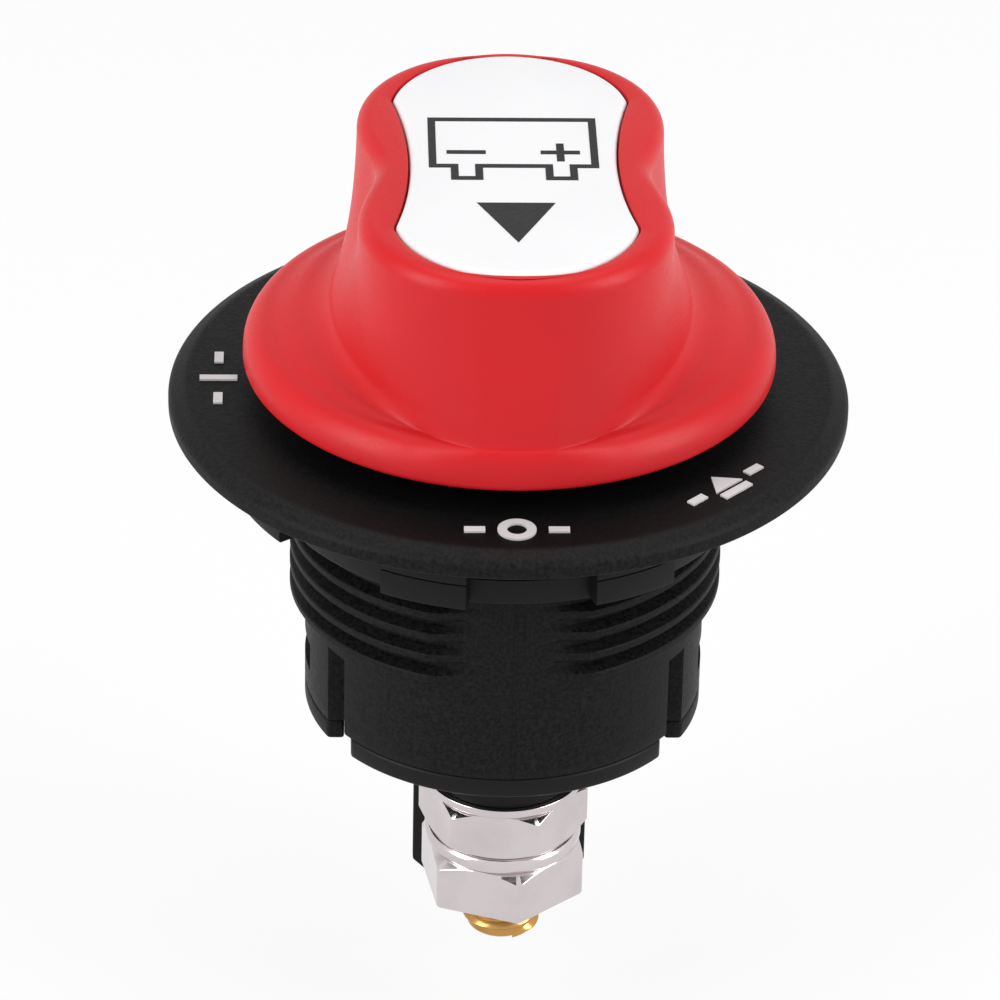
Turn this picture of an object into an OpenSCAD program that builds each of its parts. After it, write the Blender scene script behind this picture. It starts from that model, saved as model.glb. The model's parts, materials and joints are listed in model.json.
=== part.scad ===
// Panel-mounted rotary battery switch with a removable key knob.
// Origin: centre of the flange's underside. +Z points out of the panel, -Y is the front.
// The knob is drawn at OFF, with its pointer at the front.

/* [Flange] */
// Diameter of the round flange that lies on the panel
flange_d = 67; // [60:0.5:85]
// Height of the flange's upright rim
rim_h = 1.3; // [0.8:0.1:1.6]
// Thickness of the flange
flange_h = 2.5; // [2:0.1:3]
// Width of the bevel around the flange's top edge
flange_bevel = 1.7; // [1:0.1:3]
// Diameter of the raised hub under the knob
hub_d = 40.6; // [40:0.1:44]
// Height of the hub's top above the flange's underside
hub_top = 4.9; // [4.5:0.1:5]
// Radius of the middle of the ring of position marks
mark_r = 28.55; // [27.5:0.05:30]
// Height of one position mark
mark_h = 3.7; // [2.5:0.1:4]
// Stroke width of the marks
mark_stroke = 0.9; // [0.6:0.1:1.1]
// How far the marks stand up
mark_rise = 0.2; // [0.1:0.05:0.4]

/* [Barrel] */
// Outside diameter of the barrel below the thread
barrel_d = 40; // [38:0.5:48]
// Depth of the barrel's walls below the flange
barrel_len = 31.6; // [30:0.1:40]
// Thickness of the barrel's wall
barrel_wall = 2.4; // [2:0.1:2.6]
// How far the two side ears reach below the barrel
ear_drop = 2.05; // [1.5:0.05:4]
// Width of each side ear
ear_w = 18.7; // [14:0.1:20]
// Distance from the axis to the ears' flat inner side
ear_in = 16.05; // [15.8:0.05:17]
// Radial height of the thread above its root
thread_h = 1.35; // [0.9:0.05:1.5]
// Pitch of the thread
thread_pitch = 2.4; // [2:0.1:3]
// Depth of the lowest thread crest below the flange
thread_end = 21.1; // [18:0.1:24]
// Plain neck between the flange and the thread
thread_neck = 3.4; // [3:0.1:6]
// Width of the snap window in each ear
window_w = 9; // [7:0.5:12]
// Height of the snap window
window_h = 3; // [2.5:0.1:4]

/* [Panel nut] */
// Gap between flange and nut, which is the thickness of the panel
panel_gap = 3; // [2.2:0.1:5]
// Height of the nut's ring
nut_h = 6; // [5:0.1:7]
// Height of the nut's two thumb wings
wing_h = 3.25; // [2.5:0.05:5]
// Wall of the nut around the thread
nut_wall = 1.85; // [1.5:0.05:3]
// How far the gripping teeth stand out of the ring
tooth_out = 1.5; // [1:0.1:2.5]
// How far the thumb wings stand out of the ring
wing_out = 4.5; // [3:0.1:5]
// How far the nut was turned when it was tightened, in degrees
nut_turn = 4.1; // [0:0.1:30]

/* [Terminals] */
// Distance between the two studs
stud_pitch = 19.5; // [19:0.1:22]
// Thread diameter of the studs
stud_d = 8; // [6:1:8]
// Depth of the studs' ends below the flange
stud_end = 55.55; // [54:0.05:75]
// Diameter of the posts around the studs
post_d = 15; // [13:0.5:16]
// How far the posts stand down from the base plate
post_h = 3.15; // [2:0.05:6]
// Thickness of the flat washers
washer_h = 0.9; // [0.8:0.1:2]
// Diameter of the flat washers
washer_d = 16; // [14:0.5:16.5]
// Width across the flats of the hexagon nuts
hex_flats = 15; // [13:0.5:15]
// Height of the inner nuts
inner_nut_h = 5.2; // [4:0.1:6]
// Height of the outer nuts
outer_nut_h = 5.4; // [4:0.1:6]
// Turn of the inner nuts' corners, in degrees
inner_turn = -8; // [-30:1:30]
// Turn of the outer nuts' corners, in degrees
outer_turn = -20; // [-30:1:30]
// Thickness of the lock washers
lock_h = 1.8; // [1.2:0.1:2.4]
// Thickness of the barrier wall between the terminals
barrier_t = 1.4; // [1:0.1:1.6]
// Width of the barrier wall
barrier_w = 17.7; // [14:0.1:22]

/* [Knob] */
// Diameter of the knob's skirt
knob_d = 52.3; // [50:0.1:56]
// Gap between the flange's top and the knob
knob_gap = 2.7; // [2.6:0.1:4]
// Height of the knob's top above its lower edge
knob_h = 21.4; // [19:0.1:26]
// Height of the skirt
skirt_h = 4.1; // [3.5:0.1:6]
// Half the width of the grip where it stands on the skirt
foot_half_w = 18.3; // [16:0.1:21]
// Half the width of the grip's top at its widest
grip_half_w = 17.3; // [15:0.1:18]
// Half the length of the grip's top
grip_half_l = 24.3; // [23:0.1:25]
// Share by which the grip narrows at its waist
waist = 0.23; // [0:0.01:0.28]
// Reach of the waist along the grip
waist_reach = 10; // [6:0.5:14]
// Wall thickness of the knob
knob_wall = 2.6; // [2:0.1:3]
// Thickness of the label plate
label_t = 2; // [1.5:0.1:2.4]
// How far the label plate stands above the grip
label_rise = 0.25; // [0:0.05:0.5]
// Half the width of the label plate at its waist
label_waist_half = 10; // [8:0.1:10.5]
// Half the width of the label plate at its corners
label_corner_half = 11.55; // [10.8:0.05:12]
// Distance of the label plate's corners from the knob's axis
label_corner_y = 13.1; // [11:0.1:14]
// Half the length of the label plate
label_half_l = 22.8; // [21:0.1:23]

/* [Mechanism] */
// Turn from OFF to ON, in degrees
turn_on = 90; // [60:5:90]
// Turn from OFF to OUT, in degrees
turn_out = 45; // [30:5:50]
// Diameter of the key's stem
stem_d = 10; // [9:0.5:11]
// Radius that the key's two lugs reach
lug_r = 8; // [7:0.1:8.5]
// Width of each lug
lug_w = 3; // [2.5:0.1:3.5]
// Diameter of the contact faces
contact_d = 6.4; // [5:0.1:6.8]
// Diameter of the detent balls
ball_d = 3; // [2.5:0.1:3.2]
// Thickness of the contact bridge
bridge_t = 2.4; // [1.8:0.1:3]
// Width of the contact bridge
bridge_w = 7; // [6:0.1:7.4]

/* [Clearances] */
// Radial clearance of a running fit
running = 0.08; // [0.03:0.01:0.1]
// Clearance of a part that only passes another
clear = 0.3; // [0.2:0.05:0.4]
// Gap around parts that sit in a pocket
seat_gap = 0.05; // [0.02:0.01:0.1]

/* [Hidden] */
$fn = 96;
cut = 1;

// Barrel and thread
barrel_r = barrel_d / 2;
root_r = barrel_r + 0.2;
crest_r = root_r + thread_h;
cavity_r = barrel_r - barrel_wall;
crest_w = 0.7;
flank_w = 0.5;
crest_count = floor((thread_end - thread_neck - crest_w / 2 - flank_w) / thread_pitch) + 1;
notch_top = thread_end + 1.4;
ear_end = barrel_len + ear_drop;
ceiling = 2;
keyhole_r = lug_r + 1;

// Keyway ring
ring_t = 2;
ring_top = hub_top - 0.5;
ring_floor = ring_top - ring_t;
ring_r = 14.5;
screw_ring_r = 11.6;
screw_r = 1.2;
screw_head_r = 2.1;
screw_count = 3;
screw_end = -1;

// Rotor and its bearing
thrust_t = 0.8;
rotor_top = -ceiling - thrust_t - 2 * seat_gap;
journal_r = 12.2;
collar_r = journal_r + running;
collar_wall = 2;
collar_end = -7.5;
drum_r = cavity_r - 0.4;
drum_top = -9;
drum_h = 5;
drum_mid = drum_top - drum_h / 2;
drum_end = drum_top - drum_h;
socket_end = -8.9;
spindle_r = bridge_w / 2 + 4.5;
spindle_end = -24.2;
guide_w = bridge_w + 0.3;
guide_top = -20.8;
stop_rib_w = 2.4;
stop_tab_w = 4;
stop_tab_top = -5;
stop_spread = asin((stop_rib_w + stop_tab_w) / 2 / (collar_r + collar_wall)) + 1;
seal_r = 0.85;
seal_z = -5;

// Detent
ball_r = ball_d / 2;
ball_at = drum_r + 0.7 - ball_r;
ball_travel = 0.4;
ball_bore_start = 9.5;

// Terminals
stud_y = stud_pitch / 2;
stud_r = stud_d / 2;
head_w = 11;
head_t = 3;
pad_t = 0.6;
contact_floor = -26;
head_floor = contact_floor - pad_t - head_t;
pad_r = contact_d / 2;
post_end = -ear_end - post_h;
washer_end = post_end - washer_h;
inner_nut_end = washer_end - inner_nut_h;
lock_end = inner_nut_end - lock_h;
outer_nut_end = lock_end - outer_nut_h;
stud_chamfer = 1;
groove_w = 0.7;
groove_d = 0.3;
cone_slope = 35;
lock_slit = 0.8;

// Base
plug_r = cavity_r - 0.2;
base_half_w = ear_in - 0.65;
tab_out = 2;
window_mid = -27.2;
tab_gap = 0.2;
barrier_chamfer = 1.3;
tongue_w = window_w + 1.4;
tongue_t = 2.2;
slit = 0.8;

// Bridge
bridge_end = contact_floor + 0.05 + 1.3;
bridge_top = bridge_end + bridge_t;
bridge_half_l = stud_y + pad_r + 0.1;
spring_bore_top = -14.5;
spring_bore_r = 3.6;

// Knob
knob_bottom = flange_h + knob_gap;
knob_top = knob_bottom + knob_h;
skirt_r = knob_d / 2;
shoulder_z = knob_bottom + skirt_h - 1.7;
shelf_z = knob_bottom + skirt_h;
foot_z = shelf_z + 0.9;
wall_top_z = knob_top - 1.7;
label_floor = knob_top + label_rise - label_t;
label_top = knob_top + label_rise;
label_gap = 0.15;
ink_t = 0.3;
boss_r = 7.5;
boss_end = 9;
shank_w = 7.9;
shank_top = 18.9;
cavity_top = label_floor - 2.4;

function side_bow_r() =
    let (sag = label_corner_half - label_waist_half)
    (label_corner_y * label_corner_y + sag * sag) / (2 * sag);
function end_bow_r() =
    let (rise = label_half_l - label_corner_y)
    (label_corner_half * label_corner_half + rise * rise) / (2 * rise);

// Radius of a superellipse with half axes a and b and exponent n, at angle t
function super_r(t, a, b, n) =
    pow(pow(abs(cos(t)) / a, n) + pow(abs(sin(t)) / b, n), -1 / n);

// Outline of the grip where it meets the skirt, and at its top
function foot_r(t) = min(super_r(t, foot_half_w, skirt_r - 0.2, 1.8), skirt_r - 0.75);
function top_r(t) =
    let (r = super_r(t, grip_half_w, grip_half_l, 2.4))
    r * (1 - waist * exp(-pow(r * sin(t) / waist_reach, 2)));

// The knob's outer profile at angle t, from the skirt's lower edge to the top
function wall_r(t, s) = top_r(t) + (foot_r(t) - top_r(t)) * pow(1 - s, 1.5);
function knob_profile(t) =
    let (
        shelf_r = max(skirt_r - 1.3, foot_r(t) + 0.1),
        foot = foot_r(t),
        fillet = min(1.6, (shelf_r - foot) * 0.6),
        flat = (shelf_r - foot) / (shelf_r - foot_half_w),
        low = shelf_z + (foot_z - shelf_z) * flat
    )
    concat(
        [[skirt_r, knob_bottom], [skirt_r, shoulder_z]],
        [for (a = [30, 60, 90]) [
            shelf_r + (skirt_r - shelf_r) * cos(a),
            shoulder_z + (shelf_z - shoulder_z) * sin(a)
        ]],
        [[foot + fillet, low], [foot + fillet * 0.3, low + 0.5]],
        [for (s = [0.1:0.15:0.85]) [wall_r(t, s), low + 0.3 + (wall_top_z - low) * s]],
        [for (a = [0:30:90]) [
            top_r(t) - 1.6 * (1 - cos(a)),
            wall_top_z + (knob_top - wall_top_z) * sin(a)
        ]]
    );

// A coil spring along Z: mean radius r, wire radius w, from z0 to z1
module coil(r, w, z0, z1, turns) {
    sides = 8;
    steps = turns * 16;
    rings = [for (i = [0:steps])
        let (t = i * 360 / 16, z = z0 + w + (z1 - z0 - 2 * w) * i / steps)
        [for (j = [0:sides - 1])
            let (a = j * 360 / sides, d = r + w * cos(a))
            [d * cos(t), d * sin(t), z + w * sin(a)]
        ]
    ];
    points = [for (ring = rings) for (p = ring) p];
    faces = concat(
        [[for (j = [0:sides - 1]) j]],
        [for (i = [0:steps - 1]) for (j = [0:sides - 1])
            let (a = i * sides + j, b = i * sides + (j + 1) % sides)
            [a, a + sides, b + sides, b]
        ],
        [[for (j = [sides - 1:-1:0]) steps * sides + j]]
    );
    polyhedron(points, faces, convexity = 10);
}

// A flat sector between two angles, reaching to radius r
module sector(r, from, to) {
    polygon(concat([[0, 0]], [for (i = [0:6]) let (t = from + (to - from) * i / 6)
        [r * 1.3 * cos(t), r * 1.3 * sin(t)]]));
}

module ring(r_out, r_in, z_low, z_high) {
    translate([0, 0, z_low]) difference() {
        cylinder(r = r_out, h = z_high - z_low);
        translate([0, 0, -cut]) cylinder(r = r_in, h = z_high - z_low + 2 * cut);
    }
}

// Thread of the barrel, drawn as equal rings
module thread() {
    lands = [for (i = [crest_count - 1:-1:0])
        let (z = -thread_end + i * thread_pitch)
        each [
            [root_r, z + crest_w / 2 + flank_w],
            [crest_r, z + crest_w / 2],
            [crest_r, z - crest_w / 2],
            [root_r, z - crest_w / 2 - flank_w]
        ]
    ];
    end_z = -thread_end - crest_w / 2 - flank_w;
    intersection() {
        rotate_extrude() polygon(concat([[cavity_r - 0.5, 0.1], [root_r, 0.1]], lands,
            [[cavity_r - 0.5, end_z]]));
        translate([-crest_r - cut, -barrel_r, -barrel_len])
            cube([2 * (crest_r + cut), barrel_d, barrel_len + cut]);
    }
}

module at_angle(t) {
    rotate([0, 0, t]) children();
}

// The recess of the detent balls at one knob position
module detent_pocket(t) {
    for (side = [90, -90])
        at_angle(t + side) translate([ball_at + ball_travel - 0.05, 0, drum_mid])
            sphere(r = ball_r + clear + 0.1);
}

module housing() {
    color("#262626") difference() {
        union() {
            rotate_extrude() polygon([
                [0, 0], [flange_d / 2, 0], [flange_d / 2, rim_h],
                [flange_d / 2 - 0.5 * flange_bevel, rim_h + 0.75 * (flange_h - rim_h)],
                [flange_d / 2 - flange_bevel, flange_h], [hub_d / 2, flange_h],
                [hub_d / 2, hub_top - 0.4], [hub_d / 2 - 0.4, hub_top], [0, hub_top]
            ]);
            thread();
            translate([0, 0, -barrel_len]) cylinder(r = barrel_r, h = barrel_len);
            intersection() {
                translate([0, 0, -ear_end]) cylinder(r = barrel_r, h = ear_drop + cut);
                for (side = [0, 180])
                    at_angle(side) translate([ear_in, -ear_w / 2, -ear_end])
                        cube([barrel_r, ear_w, ear_drop + cut]);
            }
        }
        // Hollow of the barrel, round the bearing collar and the two stop ribs
        difference() {
            translate([0, 0, -barrel_len - cut])
                cylinder(r = cavity_r, h = barrel_len + cut - ceiling);
            ring(collar_r + collar_wall, collar_r, collar_end, 0);
            for (t = [turn_out + stop_spread, -turn_on - stop_spread])
                at_angle(t) translate([collar_r + 0.5, -stop_rib_w / 2, drum_top + clear])
                    cube([barrel_r - collar_r - 1, stop_rib_w, -drum_top]);
        }
        // Passage of the key, and the seat of the keyway ring
        translate([0, 0, -ceiling - cut]) cylinder(r = keyhole_r, h = ceiling + hub_top + 2 * cut);
        translate([0, 0, ring_floor]) cylinder(r = ring_r + seat_gap, h = hub_top);
        for (i = [0:screw_count - 1])
            at_angle(i * 360 / screw_count) translate([screw_ring_r, 0, screw_end - 0.2])
                cylinder(r = screw_r + seat_gap, h = hub_top);
        // Running groove and pockets of the detent balls
        rotate_extrude() translate([ball_at, drum_mid]) circle(r = ball_r + clear);
        for (t = [-turn_on, 0, turn_out]) detent_pocket(t);
        // Corner notches beside the ears, and the snap windows
        for (x = [0, 1], y = [0, 1])
            mirror([x, 0, 0]) mirror([0, y, 0])
                translate([ear_in, ear_w / 2, -barrel_len - cut])
                    cube([barrel_r, barrel_r, barrel_len + cut - notch_top]);
        translate([-barrel_r - cut, -window_w / 2, window_mid - window_h / 2])
            cube([barrel_d + 2 * cut, window_w, window_h]);
    }
}

// A short stroke on each side of a mark, so that each mark fills its place on the ring
module side_strokes() {
    for (side = [-1, 1])
        translate([side * 4 - 1, -mark_stroke / 2]) square([2, mark_stroke]);
}

// Mark at angle t on the flange, its top towards the knob
module mark(t) {
    at_angle(t) translate([0, -mark_r, flange_h]) linear_extrude(mark_rise) {
        side_strokes();
        children();
    }
}

module position_marks() {
    color("white") {
        mark(0) difference() {
            circle(d = mark_h);
            circle(d = mark_h - 2 * mark_stroke);
        }
        mark(-turn_on) translate([-mark_stroke / 2, -mark_h / 2]) square([mark_stroke, mark_h]);
        mark(turn_out) {
            translate([-mark_h / 2, -mark_h / 2]) square([mark_h, mark_stroke]);
            polygon([
                [-mark_h / 2, -mark_h / 2 + 1.5 * mark_stroke],
                [mark_h / 2, -mark_h / 2 + 1.5 * mark_stroke],
                [0, mark_h / 2]
            ]);
        }
    }
}

// Retains the key's lugs, except from OFF to OUT, where they pass its slots
module keyway_ring() {
    color("dimgray") difference() {
        translate([0, 0, ring_floor]) cylinder(r = ring_r, h = ring_t);
        translate([0, 0, ring_floor - cut]) cylinder(r = stem_d / 2 + clear, h = ring_t + 2 * cut);
        for (side = [90, -90]) {
            slot_half = asin((lug_w / 2 + clear) / (stem_d / 2 + clear));
            translate([0, 0, ring_floor - cut]) linear_extrude(ring_t + 2 * cut) intersection() {
                circle(r = lug_r + clear);
                sector(lug_r + clear, side - slot_half, side + turn_out + slot_half);
            }
        }
        for (i = [0:screw_count - 1])
            at_angle(i * 360 / screw_count) translate([screw_ring_r, 0, 0]) {
                translate([0, 0, ring_floor - cut]) cylinder(r = screw_r + seat_gap, h = ring_t + cut);
                translate([0, 0, ring_top - 1]) cylinder(r = screw_head_r + seat_gap, h = 1 + cut);
            }
    }
}

module keyway_screws() {
    color("silver") for (i = [0:screw_count - 1])
        at_angle(i * 360 / screw_count) translate([screw_ring_r, 0, 0]) difference() {
            union() {
                translate([0, 0, screw_end]) cylinder(r = screw_r, h = ring_top - 1 - screw_end);
                translate([0, 0, ring_top - 1]) cylinder(r = screw_head_r, h = 0.9);
            }
            for (t = [0, 90])
                at_angle(t) translate([-1.3, -0.25, ring_top - 0.6]) cube([2.6, 0.5, 1]);
        }
}

module base() {
    color("#242424") difference() {
        union() {
            // Plate under the barrel, between the ears
            intersection() {
                translate([0, 0, -ear_end]) cylinder(r = barrel_r, h = ear_drop);
                translate([-base_half_w, -barrel_r, -ear_end])
                    cube([2 * base_half_w, barrel_d, ear_drop]);
            }
            translate([0, 0, -barrel_len]) cylinder(r = plug_r, h = barrel_len + contact_floor);
            for (side = [-1, 1])
                translate([0, side * stud_y, post_end]) cylinder(d = post_d, h = post_h + cut);
            // Snap tabs that stand in the ears' windows
            for (side = [0, 180])
                at_angle(side) translate([0, window_w / 2 - tab_gap, 0]) rotate([90, 0, 0])
                    linear_extrude(window_w - 2 * tab_gap) polygon([
                        [plug_r - 1, window_mid + window_h / 2 - tab_gap],
                        [plug_r, window_mid + window_h / 2 - tab_gap],
                        [plug_r + tab_out, window_mid - window_h / 2 + 2 * tab_gap],
                        [plug_r + tab_out, window_mid - window_h / 2 + tab_gap],
                        [plug_r - 1, window_mid - window_h / 2 + tab_gap]
                    ]);
            // Barrier between the terminals
            translate([0, barrier_t / 2, 0]) rotate([90, 0, 0]) linear_extrude(barrier_t) polygon([
                [-barrier_w / 2, -ear_end + 0.5], [barrier_w / 2, -ear_end + 0.5],
                [barrier_w / 2, -stud_end + barrier_chamfer],
                [barrier_w / 2 - barrier_chamfer, -stud_end],
                [-barrier_w / 2 + barrier_chamfer, -stud_end],
                [-barrier_w / 2, -stud_end + barrier_chamfer]
            ]);
        }
        for (side = [-1, 1]) translate([0, side * stud_y, 0]) {
            translate([0, 0, post_end - cut]) cylinder(r = stud_r + seat_gap, h = -post_end);
            translate([-head_w / 2 - seat_gap, -head_w / 2 - seat_gap, head_floor])
                cube([head_w + 2 * seat_gap, head_w + 2 * seat_gap, head_t + pad_t + cut]);
        }
        // Slits that free the two snap tongues
        for (side = [0, 180]) at_angle(side) {
            for (y = [-1, 1])
                translate([plug_r - tongue_t - slit, y * tongue_w / 2 - slit / 2, -barrel_len + cut])
                    cube([tongue_t + slit + cut, slit, barrel_len]);
            translate([plug_r - tongue_t - slit, -tongue_w / 2, -barrel_len + cut])
                cube([slit, tongue_w, barrel_len]);
        }
    }
}

// A terminal stud, with a runout groove under the outer nut
module stud(side) {
    groove_r = stud_r - groove_d;
    head_in = head_floor + head_t / 2;
    color("#b57a3a") translate([0, side * stud_y, 0]) {
        translate([-head_w / 2, -head_w / 2, head_floor]) cube([head_w, head_w, head_t]);
        rotate_extrude() polygon([
            [0, head_in],
            [stud_r, head_in],
            [stud_r, outer_nut_end],
            [groove_r, outer_nut_end],
            [groove_r, outer_nut_end - groove_w],
            [stud_r, outer_nut_end - groove_w],
            [stud_r, -stud_end + stud_chamfer],
            [stud_r - stud_chamfer, -stud_end],
            [0, -stud_end]
        ]);
    }
}

module contact_pad(side) {
    color("gainsboro") translate([0, side * stud_y, contact_floor - pad_t])
        cylinder(r = pad_r, h = pad_t);
}

module flat_washer(side) {
    color("silver") translate([0, side * stud_y, 0])
        ring(washer_d / 2, stud_r + 0.2, washer_end, post_end);
}

// A hexagon nut, its corners turned to one angle and cut by a cone above, and below too if it is double
module hex_nut(side, z_low, height, turn, double) {
    corner_r = hex_flats / 2 / cos(30);
    face_r = hex_flats / 2 - seat_gap;
    rim_r = corner_r + 0.2;
    cone_h = (rim_r - face_r) * tan(cone_slope);
    low_r = double ? face_r : rim_r;
    low_h = double ? cone_h : 0;
    color("silver") translate([0, side * stud_y, z_low]) difference() {
        intersection() {
            at_angle(turn) cylinder(r = corner_r, h = height, $fn = 6);
            rotate_extrude() polygon([
                [0, 0],
                [low_r, 0],
                [rim_r, low_h],
                [rim_r, height - cone_h],
                [face_r, height],
                [0, height]
            ]);
        }
        translate([0, 0, -cut]) cylinder(r = stud_r + seat_gap, h = height + 2 * cut);
    }
}

module lock_washer(side) {
    outer = hex_flats / 2 + 0.4;
    inner = stud_r + 0.25;
    color("silver") translate([0, side * stud_y, lock_end]) difference() {
        rotate_extrude() union() {
            translate([inner, 0]) square([outer - inner - lock_h / 2, lock_h]);
            translate([outer - lock_h / 2, lock_h / 2]) circle(d = lock_h);
        }
        at_angle(-side * 90) translate([inner - cut, -lock_slit / 2, -cut])
            cube([outer - inner + 2 * cut, lock_slit, lock_h + 2 * cut]);
    }
}

module panel_nut() {
    nut_low = -panel_gap - nut_h;
    bore_r = crest_r + 0.1;
    nut_r = bore_r + nut_wall;
    color("#202020") at_angle(nut_turn) difference() {
        union() {
            translate([0, 0, nut_low]) cylinder(r = nut_r, h = nut_h);
            for (t = [-90, 90], side = [-1, 1])
                translate([0, 0, nut_low]) linear_extrude(nut_h) intersection() {
                    circle(r = nut_r + tooth_out);
                    sector(nut_r + tooth_out, t + side * 24.7 - 10.1, t + side * 24.7 + 10.1);
                }
            for (t = [0, 180])
                translate([0, 0, -panel_gap - wing_h]) linear_extrude(wing_h) intersection() {
                    circle(r = nut_r + wing_out);
                    sector(nut_r + wing_out, t - 32.5, t + 32.5);
                }
        }
        translate([0, 0, nut_low - cut]) cylinder(r = bore_r, h = nut_h + 2 * cut);
    }
}

module rotor() {
    color("#8a8a80") difference() {
        union() {
            translate([0, 0, drum_end]) cylinder(r = drum_r, h = drum_h);
            translate([0, 0, drum_top - 0.5]) cylinder(r = journal_r, h = rotor_top - drum_top + 0.5);
            translate([0, 0, spindle_end]) cylinder(r = spindle_r, h = drum_end - spindle_end + 0.5);
            // Tab that meets the housing's stop ribs
            intersection() {
                ring(drum_r, collar_r + collar_wall + clear, drum_top - 0.5, stop_tab_top);
                translate([0, -stop_tab_w / 2, drum_top - 1]) cube([barrel_r, stop_tab_w, 10]);
            }
        }
        // Socket of the key
        translate([0, 0, socket_end]) cylinder(r = stem_d / 2 + running, h = 10);
        intersection() {
            translate([0, 0, socket_end]) cylinder(r = lug_r + 0.2, h = 10);
            translate([-lug_w / 2 - 0.1, -lug_r - cut, socket_end])
                cube([lug_w + 0.2, 2 * (lug_r + cut), 10]);
        }
        // Groove of the seal
        rotate_extrude() translate([journal_r - 2 * seal_r, seal_z - seal_r - seat_gap])
            square([2 * seal_r + cut, 2 * (seal_r + seat_gap)]);
        // Bores of the detent balls
        for (t = [90, -90])
            at_angle(t) translate([ball_bore_start, 0, drum_mid]) rotate([0, 90, 0])
                cylinder(r = ball_r + seat_gap, h = drum_r);
        // Guide of the contact bridge, and the bore of its spring
        translate([-barrel_r, -guide_w / 2, spindle_end - cut])
            cube([barrel_d, guide_w, guide_top - spindle_end + cut]);
        translate([0, 0, guide_top - cut])
            cylinder(r = spring_bore_r, h = spring_bore_top - guide_top + cut);
    }
}

module rotor_seal() {
    color("#303030") rotate_extrude() translate([journal_r - seal_r + seat_gap, seal_z]) circle(r = seal_r);
}

module thrust_washer() {
    color("ivory") ring(journal_r - 0.2, keyhole_r + 0.2, rotor_top, rotor_top + thrust_t);
}

module detent_ball(t) {
    color("silver") at_angle(t) translate([ball_at, 0, drum_mid]) sphere(r = ball_r);
}

module detent_spring(t) {
    color("gray") at_angle(t) translate([0, 0, drum_mid]) rotate([0, 90, 0])
        coil(0.95, 0.25, ball_bore_start + seat_gap, ball_at - ball_r - seat_gap, 5);
}

module contact_bridge() {
    color("#c07845") translate([0, 0, bridge_end]) linear_extrude(bridge_t) intersection() {
        square([2 * bridge_half_l, bridge_w], center = true);
        circle(r = bridge_half_l);
    }
}

module bridge_contacts() {
    color("gainsboro") for (side = [-1, 1])
        translate([side * stud_y, 0, contact_floor + 0.05])
            cylinder(r = pad_r, h = bridge_end - contact_floor - 0.05);
}

module contact_spring() {
    color("gray") coil(2.9, 0.5, bridge_top + seat_gap, spring_bore_top - seat_gap, 6);
}

module knob_shell() {
    steps = 72;
    columns = [for (i = [0:steps - 1]) knob_profile(i * 360 / steps)];
    levels = len(columns[0]);
    points = [for (i = [0:steps - 1]) for (p = columns[i])
        [p[0] * cos(i * 360 / steps), p[0] * sin(i * 360 / steps), p[1]]];
    sides = [for (i = [0:steps - 1]) for (j = [0:levels - 2])
        let (a = i * levels + j, b = ((i + 1) % steps) * levels + j)
        each [[a, a + 1, b + 1], [a, b + 1, b]]];
    top = [for (i = [0:steps - 1]) i * levels + levels - 1];
    bottom = [for (i = [steps - 1:-1:0]) i * levels];
    polyhedron(points, concat(sides, [top], [bottom]), convexity = 6);
}

module label_outline(grow) {
    side_r = side_bow_r();
    end_r = end_bow_r();
    difference() {
        union() {
            square([2 * label_corner_half + 4, 2 * label_corner_y - 2], center = true);
            for (side = [-1, 1])
                translate([0, side * (label_half_l - end_r)]) circle(r = end_r + grow);
        }
        for (side = [-1, 1])
            translate([side * (label_waist_half + side_r), 0]) circle(r = side_r - grow, $fn = 180);
    }
}

module knob() {
    color("#d32f33") difference() {
        union() {
            difference() {
                knob_shell();
                translate([0, 0, knob_bottom - cut])
                    cylinder(r = skirt_r - knob_wall, h = skirt_h - knob_wall + 0.5 + cut);
                translate([0, 0, knob_bottom + 1]) linear_extrude(cavity_top - knob_bottom - 1)
                    polygon([for (i = [0:35]) (top_r(i * 10) - knob_wall) * [cos(i * 10), sin(i * 10)]]);
            }
            translate([0, 0, boss_end]) cylinder(r = boss_r, h = cavity_top - boss_end + 0.5);
        }
        translate([-shank_w / 2 - seat_gap, -shank_w / 2 - seat_gap, boss_end - cut])
            cube([shank_w + 2 * seat_gap, shank_w + 2 * seat_gap, shank_top + 0.1 - boss_end + cut]);
        translate([0, 0, shank_top]) cylinder(r = 2.2, h = 10);
        translate([0, 0, label_floor - 2]) cylinder(r = 4, h = 5);
        translate([0, 0, label_floor - seat_gap]) linear_extrude(10) label_outline(label_gap);
    }
}

module label() {
    color("white") difference() {
        translate([0, 0, label_floor]) linear_extrude(label_t) label_outline(0);
        translate([0, 0, label_top - ink_t]) linear_extrude(cut) {
            battery_outline();
            pointer_outline();
        }
    }
}

// Battery pictogram: a case seen from the side with its two posts, a minus and a plus
module battery_outline() {
    line = 0.75;
    case_half_w = 8.2;
    case_low = -1.5;
    case_high = 8.9;
    post_x = 4.55;
    post_half_w = 1.55;
    post_low = -4;
    sign_y = 1.7;
    difference() {
        union() {
            translate([-case_half_w, case_low]) square([2 * case_half_w, case_high - case_low]);
            for (side = [-1, 1])
                translate([side * post_x - post_half_w, post_low])
                    square([2 * post_half_w, case_low - post_low + 1]);
        }
        translate([-case_half_w + line, case_low + line])
            square([2 * (case_half_w - line), case_high - case_low - 2 * line]);
        for (side = [-1, 1])
            translate([side * post_x - post_half_w + line, post_low + line])
                square([2 * (post_half_w - line), case_low - post_low + 2 * line]);
    }
    translate([-post_x - 1.9, sign_y - line / 2]) square([3.8, line]);
    translate([post_x - 1.9, sign_y - line / 2]) square([3.8, line]);
    translate([post_x - line / 2, sign_y - 1.85]) square([line, 3.7]);
}

module pointer_outline() {
    polygon([[-3.75, -8.6], [3.75, -8.6], [0, -16.5]]);
}

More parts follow.
